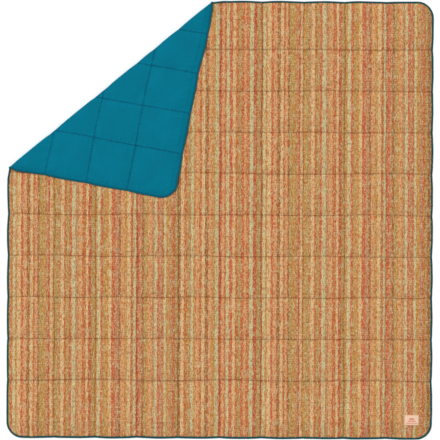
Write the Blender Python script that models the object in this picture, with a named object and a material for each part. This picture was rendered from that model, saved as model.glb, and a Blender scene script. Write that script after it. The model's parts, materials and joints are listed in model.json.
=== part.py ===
"""Quilted camp blanket, laid flat with its upper left corner folded back over the face.

Metres, +Z up. The blanket lies on z = 0, its width along X and its length along Y, with its
printed face up. Three panels carry its layers: the left half, the right half, which folds
over along the centre row of quilting, and the corner, which folds along a slanting line.
Every piece is made in the flat blanket, and the corner is then turned over about its hinge.
"""

import math

import bmesh
import bpy
from mathutils import Matrix, Vector

# The blanket laid flat
WIDTH = 2.06
LENGTH = 2.12
CORNER_RADIUS = 0.075
THICKNESS = 0.012

# Rows of quilting: as many each way, evenly spaced between the margins
ROWS = 9
SIDE_MARGIN = 0.230
TOP_MARGIN = 0.236
BOTTOM_MARGIN = 0.284
CELL_SLOPE = 0.035

# Layers, which are squeezed together at a seam
FABRIC = 0.0004
SEAM_FILL = 0.0006
CLEARANCE = 0.0003

# Binding tape around the edge, and the thread that sews it
BINDING_WIDTH = 0.010
BINDING_TAPE = 0.0005
BINDING_THREAD_INSET = 0.0066
BINDING_THREAD_WIDTH = 0.0008
BINDING_THREAD_HEIGHT = 0.0004

# Quilting thread
THREAD_WIDTH = 0.0010
THREAD_HEIGHT = 0.0005
THREAD_CLEARANCE = 0.0004

# Folded corner: where its fold meets the left edge and the top edge
FOLD_DOWN = 0.822
FOLD_SHORT_OF_CENTRE = 0.031
CORNER_TURN = math.pi

# Woven label, sewn to the face near the lower right corner
LABEL_WIDTH = 0.070
LABEL_HEIGHT = 0.050
LABEL_THICKNESS = 0.0006
LABEL_RADIUS = 0.003
LABEL_FROM_SIDE = 0.065
LABEL_FROM_BOTTOM = 0.071
LABEL_THREAD_INSET = 0.002
LABEL_THREAD_WIDTH = 0.0008
LABEL_THREAD_HEIGHT = 0.0004

ARC_STEPS = 6

# Heights that follow from the layers, measured from the blanket's middle plane
MIDDLE = THICKNESS / 2
SEAM_FABRIC_LOW = SEAM_FILL / 2 + CLEARANCE
SEAM_FACE = SEAM_FABRIC_LOW + FABRIC
CROWN_FABRIC_LOW = MIDDLE - FABRIC
CROWN_FILL = CROWN_FABRIC_LOW - CLEARANCE
TAPE_LOW = SEAM_FACE + CLEARANCE
TAPE_FACE = TAPE_LOW + BINDING_TAPE
LENGTH_ROW_LOW = SEAM_FACE + THREAD_CLEARANCE
CROSS_ROW_LOW = LENGTH_ROW_LOW + THREAD_HEIGHT + CLEARANCE

# Hinge heights: the corner turns in the space between the two faces that meet, and the
# right half turns high enough to lie on the folded corner
CORNER_HINGE_HEIGHT = THICKNESS + CLEARANCE / 2
HALF_HINGE_HEIGHT = 1.5 * THICKNESS + 2 * CLEARANCE

LEFT = -WIDTH / 2
TOP = LENGTH / 2
FOLD_LEFT_END = Vector((LEFT, TOP - FOLD_DOWN, 0))
FOLD_TOP_END = Vector((-FOLD_SHORT_OF_CENTRE, TOP, 0))
FOLD_ALONG = (FOLD_TOP_END - FOLD_LEFT_END).normalized()
FOLD_OUT = Vector((-FOLD_ALONG.y, FOLD_ALONG.x, 0))

# Cutting planes, each a point and the normal of the side that is cut away
X_AXIS = Vector((1, 0, 0))
Y_AXIS = Vector((0, 1, 0))
BEYOND_FOLD = (FOLD_LEFT_END - CLEARANCE * FOLD_OUT, FOLD_OUT)
INSIDE_FOLD = (FOLD_LEFT_END + CLEARANCE * FOLD_OUT, -FOLD_OUT)
RIGHT_OF_CENTRE = (-CLEARANCE * X_AXIS, X_AXIS)
LEFT_OF_CENTRE = (CLEARANCE * X_AXIS, -X_AXIS)
ABOVE_CORNER_ARC = ((TOP - CORNER_RADIUS) * Y_AXIS, Y_AXIS)
BELOW_CORNER_ARC = ((TOP - CORNER_RADIUS) * Y_AXIS, -Y_AXIS)

PANELS = {
    "left": [RIGHT_OF_CENTRE, BEYOND_FOLD],
    "right": [LEFT_OF_CENTRE],
    "corner": [INSIDE_FOLD],
}

# Binding runs: the left half's is in two pieces, on either side of the folded corner
BINDING_RUNS = {
    "left": PANELS["left"] + [ABOVE_CORNER_ARC],
    "top_centre": PANELS["left"] + [BELOW_CORNER_ARC],
    "right": PANELS["right"],
    "corner": PANELS["corner"],
}


def clear_scene():
    for thing in list(bpy.data.objects):
        bpy.data.objects.remove(thing, do_unlink=True)


def material(name, color, roughness):
    made = bpy.data.materials.new(name)
    made.use_nodes = True
    shader = made.node_tree.nodes["Principled BSDF"]
    shader.inputs["Base Color"].default_value = (*color, 1.0)
    shader.inputs["Roughness"].default_value = roughness
    shader.inputs["Metallic"].default_value = 0.0
    made.diffuse_color = (*color, 1.0)
    return made


def hinge(name, place, turn=0.0, about=X_AXIS):
    """Empty on a joint's axis, turned about it."""
    empty = bpy.data.objects.new(name, None)
    empty.matrix_world = Matrix.Translation(place) @ Matrix.Rotation(turn, 4, about)
    bpy.context.scene.collection.objects.link(empty)
    return empty


def add_piece(name, bm, surface, parent=None, origin=None):
    """Object made of bm, whose points are those of the flat blanket."""
    if parent is not None:
        bmesh.ops.translate(bm, verts=bm.verts, vec=-origin)
    bmesh.ops.recalc_face_normals(bm, faces=bm.faces)
    mesh = bpy.data.meshes.new(name)
    bm.to_mesh(mesh)
    bm.free()
    mesh.materials.append(surface)
    piece = bpy.data.objects.new(name, mesh)
    bpy.context.scene.collection.objects.link(piece)
    piece.parent = parent
    return piece


def rounded_rectangle(centre, width, height, radius):
    """Points of a rounded rectangle, anticlockwise from its right side's upper end."""
    points = []
    for corner, (side_x, side_y) in enumerate(((1, 1), (-1, 1), (-1, -1), (1, -1))):
        middle_x = centre.x + side_x * (width / 2 - radius)
        middle_y = centre.y + side_y * (height / 2 - radius)
        for step in range(ARC_STEPS + 1):
            angle = (corner + step / ARC_STEPS) * math.pi / 2
            points.append((middle_x + radius * math.cos(angle), middle_y + radius * math.sin(angle)))
    return points


def outline(inset):
    """The blanket's outline, moved in by inset."""
    width = WIDTH - 2 * inset
    length = LENGTH - 2 * inset
    return rounded_rectangle(Vector((0, 0, 0)), width, length, CORNER_RADIUS - inset)


def spread(first, last, count):
    return [first + (last - first) * step / (count - 1) for step in range(count)]


LENGTH_ROWS = spread(LEFT + SIDE_MARGIN, -LEFT - SIDE_MARGIN, ROWS)
CROSS_ROWS = spread(TOP - TOP_MARGIN, -TOP + BOTTOM_MARGIN, ROWS)
CENTRE_ROW = ROWS // 2


def geometry(bm, faces):
    edges = {edge for face in faces for edge in face.edges}
    verts = {vert for face in faces for vert in face.verts}
    return list(verts) + list(edges) + list(faces)


def quilted_sheet():
    """The whole blanket as one flat mesh, whose z is its loft: 0 at a seam, 1 on a crown."""
    bm = bmesh.new()
    rings = []
    for inset in (BINDING_TAPE + CLEARANCE, BINDING_WIDTH + CLEARANCE):
        rings.append([bm.verts.new((x, y, 0)) for x, y in outline(inset)])
    count = len(rings[0])
    for step in range(count):
        after = (step + 1) % count
        bm.faces.new((rings[0][step], rings[0][after], rings[1][after], rings[1][step]))
    cells = [bm.faces.new(rings[1])]
    cells[0].material_index = 1
    cuts = [(x * X_AXIS, X_AXIS) for x in LENGTH_ROWS] + [(y * Y_AXIS, Y_AXIS) for y in CROSS_ROWS]
    for place, normal in cuts:
        bmesh.ops.bisect_plane(bm, geom=geometry(bm, cells), plane_co=place, plane_no=normal)
        cells = [face for face in bm.faces if face.material_index == 1]
    bmesh.ops.inset_individual(bm, faces=cells, thickness=CELL_SLOPE, use_even_offset=True)
    for cell in cells:
        for vert in cell.verts:
            vert.co.z = 1
    for face in bm.faces:
        face.material_index = 0
    return bm


def panel_sheet(planes):
    """The part of the quilted sheet that is left by the cutting planes, in triangles."""
    bm = quilted_sheet()
    for place, normal in planes:
        cut = bm.verts[:] + bm.edges[:] + bm.faces[:]
        bmesh.ops.bisect_plane(bm, geom=cut, plane_co=place, plane_no=normal, clear_outer=True)
    bmesh.ops.triangulate(bm, faces=bm.faces)
    return bm


def layer(sheet, low, high):
    """Closed layer over a sheet, between two pairs of heights, at a seam and on a crown."""
    bm = bmesh.new()
    skins = []
    for seam, crown in (low, high):
        heights = {v: MIDDLE + seam + (crown - seam) * v.co.z for v in sheet.verts}
        skins.append({v: bm.verts.new((v.co.x, v.co.y, heights[v])) for v in sheet.verts})
    below, above = skins
    for face in sheet.faces:
        bm.faces.new([above[v] for v in face.verts])
        bm.faces.new([below[v] for v in reversed(face.verts)])
    for edge in sheet.edges:
        if edge.is_boundary:
            first, last = edge.verts
            bm.faces.new((below[first], below[last], above[last], above[first]))
    return bm


def ring(section):
    """Closed ring: the section, (distance in from the edge, height), swept round the outline."""
    bm = bmesh.new()
    loops = []
    for inset, height in section:
        loops.append([bm.verts.new((x, y, MIDDLE + height)) for x, y in outline(inset)])
    for low, high in zip(loops, loops[1:] + loops[:1]):
        for step in range(len(low)):
            after = (step + 1) % len(low)
            bm.faces.new((low[step], low[after], high[after], high[step]))
    return bm


def prism(points, low, high):
    bm = bmesh.new()
    below = [bm.verts.new((x, y, low)) for x, y in points]
    above = [bm.verts.new((x, y, high)) for x, y in points]
    bm.faces.new(reversed(below))
    bm.faces.new(above)
    for step in range(len(points)):
        after = (step + 1) % len(points)
        bm.faces.new((below[step], below[after], above[after], above[step]))
    return bm


def cut_solid(bm, planes):
    """Cuts a closed solid with planes and closes the cuts."""
    for place, normal in planes:
        whole = bm.verts[:] + bm.edges[:] + bm.faces[:]
        bmesh.ops.bisect_plane(bm, geom=whole, plane_co=place, plane_no=normal, clear_outer=True)
        rims = [edge for edge in bm.edges if edge.is_boundary]
        bmesh.ops.holes_fill(bm, edges=rims)
    return bm


def bar(middle_x, middle_y, size_x, size_y, low, height):
    """Straight thread, low above the middle plane."""
    half_x = size_x / 2
    half_y = size_y / 2
    left, right = middle_x - half_x, middle_x + half_x
    near, far = middle_y - half_y, middle_y + half_y
    points = ((left, near), (right, near), (right, far), (left, far))
    return prism(points, MIDDLE + low, MIDDLE + low + height)


def length_row(x):
    """One row of quilting thread along Y, between the binding's inner edges."""
    run = LENGTH - 2 * (BINDING_WIDTH + CLEARANCE)
    return bar(x, 0, THREAD_WIDTH, run, LENGTH_ROW_LOW, THREAD_HEIGHT)


def cross_row(y):
    """One row of quilting thread along X, which lies over the rows along Y."""
    run = WIDTH - 2 * (BINDING_WIDTH + CLEARANCE)
    return bar(0, y, run, THREAD_WIDTH, CROSS_ROW_LOW, THREAD_HEIGHT)


def make_layers(surfaces, hinges):
    for panel, planes in PANELS.items():
        sheet = panel_sheet(planes)
        fill = (SEAM_FILL / 2, CROWN_FILL)
        face_low = (SEAM_FABRIC_LOW, CROWN_FABRIC_LOW)
        face_high = (SEAM_FACE, MIDDLE)
        solids = {
            "face_fabric": layer(sheet, face_low, face_high),
            "fill": layer(sheet, [-height for height in fill], fill),
            "back_fabric": layer(sheet, [-height for height in face_high],
                                 [-height for height in face_low]),
        }
        for name, solid in solids.items():
            add_piece(f"{name}_{panel}", solid, surfaces[name], *hinges[panel])
        sheet.free()


def make_binding(surfaces, hinges):
    tape = [(0, -TAPE_FACE), (0, TAPE_FACE), (BINDING_WIDTH, TAPE_FACE),
            (BINDING_WIDTH, TAPE_LOW), (BINDING_TAPE, TAPE_LOW), (BINDING_TAPE, -TAPE_LOW),
            (BINDING_WIDTH, -TAPE_LOW), (BINDING_WIDTH, -TAPE_FACE)]
    outside = BINDING_THREAD_INSET
    inside = BINDING_THREAD_INSET + BINDING_THREAD_WIDTH
    low = TAPE_FACE + CLEARANCE
    high = low + BINDING_THREAD_HEIGHT
    thread = [(outside, low), (outside, high), (inside, high), (inside, low)]
    for run, planes in BINDING_RUNS.items():
        parent = hinges.get(run, hinges["left"])
        add_piece(f"edge_binding_{run}", cut_solid(ring(tape), planes),
                  surfaces["edge_binding"], *parent)
        add_piece(f"binding_stitching_{run}", cut_solid(ring(thread), planes),
                  surfaces["binding_stitching"], *parent)


def make_quilting(surfaces, hinges):
    for number, x in enumerate(LENGTH_ROWS):
        name = f"quilting_length_row_{number + 1}"
        side = "right" if number > CENTRE_ROW else "left"
        rows = {name: (cut_solid(length_row(x), [BEYOND_FOLD]), side)}
        if x < FOLD_TOP_END.x:
            rows[f"{name}_corner"] = (cut_solid(length_row(x), [INSIDE_FOLD]), "corner")
        for row_name, (row, panel) in rows.items():
            add_piece(row_name, row, surfaces["quilting_thread"], *hinges[panel])
    for number, y in enumerate(CROSS_ROWS):
        for panel, planes in PANELS.items():
            if panel != "corner" or y > FOLD_LEFT_END.y:
                name = f"quilting_cross_row_{number + 1}_{panel}"
                row = cut_solid(cross_row(y), planes)
                add_piece(name, row, surfaces["quilting_thread"], *hinges[panel])


def make_label(surfaces, hinges):
    middle = Vector((-LEFT - LABEL_FROM_SIDE - LABEL_WIDTH / 2,
                     -TOP + LABEL_FROM_BOTTOM + LABEL_HEIGHT / 2, 0))
    low = THICKNESS + CLEARANCE
    high = low + LABEL_THICKNESS
    shape = rounded_rectangle(middle, LABEL_WIDTH, LABEL_HEIGHT, LABEL_RADIUS)
    add_piece("woven_label", prism(shape, low, high), surfaces["woven_label"], *hinges["right"])

    bm = bmesh.new()
    loops = []
    outside = LABEL_THREAD_INSET
    inside = LABEL_THREAD_INSET + LABEL_THREAD_WIDTH
    top = high + CLEARANCE + LABEL_THREAD_HEIGHT
    for inset, height in ((outside, high + CLEARANCE), (outside, top),
                          (inside, top), (inside, high + CLEARANCE)):
        shape = rounded_rectangle(middle, LABEL_WIDTH - 2 * inset, LABEL_HEIGHT - 2 * inset,
                                  LABEL_RADIUS - inset)
        loops.append([bm.verts.new((x, y, height)) for x, y in shape])
    for first, second in zip(loops, loops[1:] + loops[:1]):
        for step in range(len(first)):
            after = (step + 1) % len(first)
            bm.faces.new((first[step], first[after], second[after], second[step]))
    add_piece("label_stitching", bm, surfaces["label_stitching"], *hinges["right"])


def make_surfaces():
    return {
        "face_fabric": material("printed_face_fabric", (0.50, 0.26, 0.11), 0.85),
        "fill": material("polyester_fill", (0.85, 0.85, 0.82), 0.95),
        "back_fabric": material("teal_back_fabric", (0.0, 0.17, 0.26), 0.75),
        "edge_binding": material("teal_binding_tape", (0.03, 0.13, 0.15), 0.8),
        "binding_stitching": material("binding_thread", (0.02, 0.10, 0.12), 0.7),
        "quilting_thread": material("quilting_thread", (0.16, 0.06, 0.03), 0.7),
        "woven_label": material("woven_label", (0.80, 0.55, 0.42), 0.8),
        "label_stitching": material("label_thread", (0.75, 0.48, 0.36), 0.7),
    }


def main():
    clear_scene()
    corner_place = (FOLD_LEFT_END + FOLD_TOP_END) / 2 + Vector((0, 0, CORNER_HINGE_HEIGHT))
    half_place = Vector((0, 0, HALF_HINGE_HEIGHT))
    hinges = {
        "left": (None, None),
        "right": (hinge("half_fold_hinge", half_place), half_place),
        "corner": (hinge("corner_hinge", corner_place, CORNER_TURN, FOLD_ALONG), corner_place),
    }
    surfaces = make_surfaces()
    make_layers(surfaces, hinges)
    make_binding(surfaces, hinges)
    make_quilting(surfaces, hinges)
    make_label(surfaces, hinges)


main()
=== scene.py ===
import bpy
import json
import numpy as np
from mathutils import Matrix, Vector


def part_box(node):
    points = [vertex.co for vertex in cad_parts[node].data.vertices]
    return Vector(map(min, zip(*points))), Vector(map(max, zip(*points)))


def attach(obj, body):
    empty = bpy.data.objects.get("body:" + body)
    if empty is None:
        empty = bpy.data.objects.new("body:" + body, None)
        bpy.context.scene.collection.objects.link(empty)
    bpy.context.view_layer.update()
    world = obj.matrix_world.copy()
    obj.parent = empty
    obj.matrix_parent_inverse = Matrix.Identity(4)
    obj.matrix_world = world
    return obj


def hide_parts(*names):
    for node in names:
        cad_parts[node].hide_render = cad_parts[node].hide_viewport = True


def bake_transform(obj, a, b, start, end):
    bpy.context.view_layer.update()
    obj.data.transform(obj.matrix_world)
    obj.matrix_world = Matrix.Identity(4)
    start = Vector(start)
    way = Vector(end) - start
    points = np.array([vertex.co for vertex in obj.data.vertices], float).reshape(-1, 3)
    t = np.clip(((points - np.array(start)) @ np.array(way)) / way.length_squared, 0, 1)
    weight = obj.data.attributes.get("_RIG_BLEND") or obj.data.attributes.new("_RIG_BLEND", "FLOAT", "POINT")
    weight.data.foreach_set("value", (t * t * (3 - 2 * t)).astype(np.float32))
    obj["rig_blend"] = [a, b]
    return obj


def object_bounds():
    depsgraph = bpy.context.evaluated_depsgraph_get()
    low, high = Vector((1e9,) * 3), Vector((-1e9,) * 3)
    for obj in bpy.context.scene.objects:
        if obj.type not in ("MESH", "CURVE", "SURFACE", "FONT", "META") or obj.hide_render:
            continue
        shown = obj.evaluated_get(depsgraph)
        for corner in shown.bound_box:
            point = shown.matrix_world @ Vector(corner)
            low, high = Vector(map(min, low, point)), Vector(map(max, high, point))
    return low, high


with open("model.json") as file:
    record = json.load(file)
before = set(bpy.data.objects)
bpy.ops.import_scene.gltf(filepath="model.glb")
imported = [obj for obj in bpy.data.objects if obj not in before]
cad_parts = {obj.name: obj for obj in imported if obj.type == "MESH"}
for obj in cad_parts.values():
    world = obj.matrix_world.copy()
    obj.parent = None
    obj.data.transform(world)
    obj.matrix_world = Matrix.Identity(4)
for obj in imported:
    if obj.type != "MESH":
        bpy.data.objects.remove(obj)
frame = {"record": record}
cad_box = [list(corner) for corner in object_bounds()]

import json
import math

import bmesh
import bpy
import numpy as np
from mathutils import Vector

# ---- the frame's own sizes

JOINTS = {joint["name"]: joint for joint in frame["record"]["behaviour"]["joints"]}
CORNER_HINGE = np.array(JOINTS["corner_fold"]["pos_m"], float)
FOLD_HEIGHT = float(CORNER_HINGE[2])
FOLD_ALONG = -np.array(JOINTS["corner_fold"]["axis"][:2], float)
FOLD_ALONG /= np.linalg.norm(FOLD_ALONG)
FOLD_OUT = np.array([-FOLD_ALONG[1], FOLD_ALONG[0]])

WIDTH = cad_box[1][0] - cad_box[0][0]
LENGTH = cad_box[1][1] - cad_box[0][1]
LEFT = -WIDTH / 2
TOP = LENGTH / 2
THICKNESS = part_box("face_fabric_left")[1][2]
MIDDLE = THICKNESS / 2
TAPE_HALF = (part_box("edge_binding_right")[1][2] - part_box("edge_binding_right")[0][2]) / 2
ROWS = 9
CELLS = ROWS + 1


def middle_of(node, axis):
    low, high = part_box(node)
    return (low[axis] + high[axis]) / 2


LENGTH_ROWS = [middle_of(f"quilting_length_row_{n + 1}", 0) for n in range(CELLS // 2 - 1, ROWS)]
LENGTH_ROWS = [-x for x in LENGTH_ROWS[:0:-1]] + LENGTH_ROWS
CROSS_ROWS = [middle_of(f"quilting_cross_row_{n + 1}_right", 1) for n in range(ROWS)][::-1]

# ---- sizes of the cloth

CORNER_RADIUS = 0.075
SHEET_INSET = 0.008       # the fabrics end this far in from the edge, inside the tape
TAPE_WIDTH = 0.010
SEAM_HALF = 0.0010        # half the thickness at a row of stitches
FACE_LOFT = 0.0088        # how far a cell's crown stands above its seams
BACK_LOFT = 0.0054
DRIFT = 0.0022            # how far a sewn row strays from the straight
CELL_STEPS = 28
BLOCK = 4                 # cells each way in the simulated block
SIM_STEPS = 28
SIM_FRAMES = 20
HALF_BEND = 0.014         # the cloth turns this far either side of the centre row
ROLL_TAKES = 0.006        # cloth taken up by the roll of the fold
SKEW = 0.014              # how far the folded corner leans along the fold, as a share
FOLD_END_PULL = 0.012     # how far the fold draws in its own ends
TURN_RADIUS = 0.008       # of the tape where it turns over, for the pattern along it
FLOOR = 0.0
CELL = 0.2                # a cell's side, for the simulation and the seams' shade
SEAM_REACH = 0.008        # how far from a row of stitches its shade ends
EDGE_FALL = 0.10          # the cloth comes down to what it lies on over this distance
FACE_SEED = 31
BACK_SEED = 32


FOLD_LEFT_END = CORNER_HINGE[:2] + FOLD_ALONG * (LEFT - CORNER_HINGE[0]) / FOLD_ALONG[0]
FOLD_TOP_END = CORNER_HINGE[:2] + FOLD_ALONG * (TOP - CORNER_HINGE[1]) / FOLD_ALONG[1]


def smoothstep(value):
    value = np.clip(value, 0, 1)
    return value * value * (3 - 2 * value)


def soft_below(value, cap, softness=0.0004):
    """value, kept below cap with a rounded shoulder."""
    return -softness * np.logaddexp(-value / softness, -cap / softness)


def ripple(at, seed, waves, spans=(0.06, 0.4)):
    """Smooth irregular curve through 0, about 1 high, along a distance in metres."""
    rng = np.random.default_rng(seed)
    total = np.zeros_like(np.asarray(at, float))
    for _ in range(waves):
        span = rng.uniform(*spans)
        total += rng.uniform(0.4, 1.0) * np.sin(2 * math.pi * at / span + rng.uniform(0, 6.28))
    return total / math.sqrt(waves)


# ---- the flat blanket

COLUMN_LINES = np.array([LEFT + SHEET_INSET, *LENGTH_ROWS, -LEFT - SHEET_INSET])
ROW_LINES = np.array([-TOP + SHEET_INSET, *CROSS_ROWS, TOP - SHEET_INSET])


def sewn_lines(lines, seed, along):
    """Where each line of the quilting lies at a distance along it, one column a line."""
    rng = np.random.default_rng(seed)
    spans = rng.uniform(0.35, 0.95, (2, len(lines)))
    starts = rng.uniform(0, 2 * math.pi, (2, len(lines)))
    stray = np.zeros((len(along), len(lines)))
    for size, span, start in zip((1.0, 0.5), spans, starts):
        stray += size * DRIFT * np.sin(2 * math.pi * along[:, None] / span + start)
    stray[:, [0, -1]] = 0
    return lines + stray


def between(lines, place):
    """Positions between a table's lines, at places counted in cells."""
    low = np.clip(place.astype(int), 0, CELLS - 1)
    part = place - low
    index = np.arange(len(place))
    return lines[index, low] * (1 - part) + lines[index, low + 1] * part


def rounded(x, y):
    """Draws the sheet's square corners in to round ones."""
    region = 0.19             # the part of the sheet that gives way, in from each side
    radius = (CORNER_RADIUS - SHEET_INSET) / region
    base_x = WIDTH / 2 - SHEET_INSET - region
    base_y = LENGTH / 2 - SHEET_INSET - region
    reach_x = (np.abs(x) - base_x) / region
    reach_y = (np.abs(y) - base_y) / region
    inside = (reach_x > 0) & (reach_y > 0)
    a, b = np.where(inside, reach_x, 0.1), np.where(inside, reach_y, 0.1)
    most = np.maximum(a, b)
    ray = np.stack([a, b]) / most
    centre = 1 - radius
    half = (ray * centre).sum(0)
    square = (ray ** 2).sum(0)
    root = np.sqrt(np.maximum(half ** 2 - square * (2 * centre ** 2 - radius ** 2), 0))
    shrink = np.where(ray.min(0) > centre, (half + root) / square, 1)
    pull = 1 + (shrink - 1) * most ** 3
    return (np.where(inside, np.sign(x) * (base_x + region * a * pull), x),
            np.where(inside, np.sign(y) * (base_y + region * b * pull), y))


def flat_point(across, up):
    """Flat x and y of places counted in cells from the lower left."""
    across, up = np.broadcast_arrays(np.asarray(across, float), np.asarray(up, float))
    y = np.interp(up, np.arange(CELLS + 1), ROW_LINES)
    for _ in range(3):
        x = between(sewn_lines(COLUMN_LINES, 3, y), across)
        y = between(sewn_lines(ROW_LINES, 4, x), up)
    return rounded(x, y)


def from_fold(x, y):
    """Distance of flat points beyond the fold line, less than 0 on the part that lies flat."""
    return (x - CORNER_HINGE[0]) * FOLD_OUT[0] + (y - CORNER_HINGE[1]) * FOLD_OUT[1]


def off_fold(x, y, width):
    return smoothstep(np.abs(from_fold(x, y)) / width)


def drawn_in(x, y):
    """Flat points moved as the stitching draws the edges in, most at the ends of its rows."""
    moved = []
    for own, other, lines, seed in ((x, y, ROW_LINES, 21), (y, x, COLUMN_LINES, 25)):
        half = WIDTH / 2 if own is x else LENGTH / 2
        side = np.sign(own)
        place = np.interp(other, lines, np.arange(CELLS + 1))
        bulge = np.abs(np.sin(math.pi * place)) ** 0.7
        wave = np.where(side > 0, ripple(other, seed, 5), ripple(other, seed + 1, 5))
        inward = 0.0034 * (1 - bulge) + 0.0008 * (1 + wave)
        fade = np.clip(1 - (half - np.abs(own)) / 0.16, 0, 1) ** 2
        moved.append(-side * np.maximum(inward, 0) * fade * off_fold(x, y, 0.06))
    for end, way in ((FOLD_LEFT_END, FOLD_ALONG), (FOLD_TOP_END, -FOLD_ALONG)):
        near = 1 - smoothstep(np.hypot(x - end[0], y - end[1]) / 0.05)
        moved = [move + FOLD_END_PULL * near * part for move, part in zip(moved, way)]
    return x + moved[0], y + moved[1]


def turned_over(x, y):
    """Flat points of the corner moved as the roll of the fold takes up cloth and skews it."""
    beyond = from_fold(x, y)
    take = -ROLL_TAKES * smoothstep(beyond / 0.15)
    skew = SKEW * beyond
    slack = 0.009 * np.exp(-((x + 0.21) / 0.12) ** 2) * np.clip(1 - (TOP - y) / 0.3, 0, 1) ** 2
    slack *= smoothstep(beyond / 0.08)
    return (x + take * FOLD_OUT[0] + skew * FOLD_ALONG[0],
            y + take * FOLD_OUT[1] + skew * FOLD_ALONG[1] + slack)


def edge_drop(x, y):
    """How far the middle of the cloth comes down towards what it lies on, near its edge."""
    near = np.minimum(WIDTH / 2 - np.abs(x), LENGTH / 2 - np.abs(y))
    return (MIDDLE - TAPE_HALF - 0.0001) * (1 - smoothstep(near / EDGE_FALL)) * off_fold(x, y, EDGE_FALL)


def place(x, y, height, corner=False):
    """Points of the laid blanket: height is above the middle of the cloth, in the flat blanket.
    The corner's points come out folded over, as it lies at rest."""
    drop = edge_drop(x, y)
    new_x, new_y = drawn_in(x, y)
    if corner:
        new_x, new_y = turned_over(new_x, new_y)
    z = MIDDLE + height + (drop if corner else -drop)
    z = -soft_below(-z, -FLOOR, 0.0002)
    if not corner:
        return np.stack([new_x, new_y, z], 1)
    beyond = from_fold(new_x, new_y)
    return np.stack([new_x - 2 * beyond * FOLD_OUT[0], new_y - 2 * beyond * FOLD_OUT[1],
                     2 * FOLD_HEIGHT - z], 1)


# ---- puffed cells

PUFF_CLOTH = {
    "quality": 5, "mass": 0.08, "tension_stiffness": 12, "compression_stiffness": 12,
    "shear_stiffness": 4, "bending_stiffness": 0.08, "shrink_min": -0.022, "shrink_max": -0.022,
    "use_pressure": True, "uniform_pressure_force": 4, "vertex_group_mass": "sewn",
    "pin_stiffness": 1,
}


def grid_quads(count):
    """Faces of a square grid of count by count points."""
    index = np.arange(count - 1)
    corner = (index[:, None] * count + index[None, :]).ravel()
    return np.stack([corner, corner + count, corner + count + 1, corner + 1], 1)


def simulated_cells():
    """Cloth sewn along its rows and blown up from below: moves of a block of cells."""
    step = CELL / SIM_STEPS
    count = BLOCK * SIM_STEPS + 1
    rng = np.random.default_rng(11)
    index = np.arange(count)
    x, y = np.meshgrid(index * step, index * step, indexing="ij")
    start = np.stack([x, y, 0.0006 * rng.standard_normal(x.shape)], -1).reshape(-1, 3)
    mesh = bpy.data.meshes.new("puff_block")
    mesh.from_pydata(start.tolist(), [], grid_quads(count).tolist())
    block = bpy.data.objects.new("puff_block", mesh)
    bpy.context.scene.collection.objects.link(block)
    sewn = (index % SIM_STEPS == 0)
    pins = np.flatnonzero((sewn[:, None] | sewn[None, :]).ravel())
    group = block.vertex_groups.new(name="sewn")
    group.add(pins.tolist(), 1.0, "REPLACE")
    cloth = block.modifiers.new("cloth", "CLOTH")
    for setting, value in PUFF_CLOTH.items():
        setattr(cloth.settings, setting, value)
    cloth.settings.effector_weights.gravity = 0
    cloth.collision_settings.use_collision = False
    for number in range(1, SIM_FRAMES + 1):
        bpy.context.scene.frame_set(number)
    shown = block.evaluated_get(bpy.context.evaluated_depsgraph_get())
    end = np.empty(len(shown.data.vertices) * 3)
    shown.data.vertices.foreach_get("co", end)
    move = (end.reshape(-1, 3) - np.stack([x, y, 0 * x], -1).reshape(-1, 3)).reshape(count, count, 3)
    bpy.context.scene.frame_set(1)
    bpy.data.objects.remove(block, do_unlink=True)
    bpy.data.meshes.remove(mesh)
    starts = range(0, BLOCK * SIM_STEPS, SIM_STEPS)
    cells = np.array([move[left:left + SIM_STEPS + 1, low:low + SIM_STEPS + 1]
                      for left in starts for low in starts])
    return cells / np.percentile(cells[..., 2], 97)


CELL_MOVES = simulated_cells()


def puff(across, up, seed):
    """In-plane move and height, from 0 at a seam to about 1, of a fabric at places in cells."""
    rng = np.random.default_rng(seed)
    pick = rng.integers(0, len(CELL_MOVES), (CELLS, CELLS))
    turned = rng.integers(0, 2, (3, CELLS, CELLS)).astype(bool)
    strength = rng.uniform(0.86, 1.04, (CELLS, CELLS))
    column = np.clip(across.astype(int), 0, CELLS - 1)
    row = np.clip(up.astype(int), 0, CELLS - 1)
    s, t = across - column, up - row
    flip_s, flip_t, swap = (way[column, row] for way in turned)
    s, t = np.where(flip_s, 1 - s, s), np.where(flip_t, 1 - t, t)
    a, b = np.where(swap, t, s) * SIM_STEPS, np.where(swap, s, t) * SIM_STEPS
    low_a = np.clip(a.astype(int), 0, SIM_STEPS - 1)
    low_b = np.clip(b.astype(int), 0, SIM_STEPS - 1)
    part_a, part_b = (a - low_a)[:, None], (b - low_b)[:, None]
    cell = pick[column, row]
    move = (CELL_MOVES[cell, low_a, low_b] * (1 - part_a) * (1 - part_b)
            + CELL_MOVES[cell, low_a + 1, low_b] * part_a * (1 - part_b)
            + CELL_MOVES[cell, low_a, low_b + 1] * (1 - part_a) * part_b
            + CELL_MOVES[cell, low_a + 1, low_b + 1] * part_a * part_b)
    move_x = np.where(swap, move[:, 1], move[:, 0]) * np.where(flip_s, -1, 1)
    move_y = np.where(swap, move[:, 0], move[:, 1]) * np.where(flip_t, -1, 1)
    return move_x, move_y, move[:, 2] * strength[column, row]


def fullness(rise):
    """Share of the loft at a rise of the simulated cloth: steep beside a seam, flat on the crown."""
    return 1 - (1 - np.clip(rise, 0, 1)) ** 1.7 + 0.5 * np.clip(rise - 1, 0, 0.3)


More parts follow.
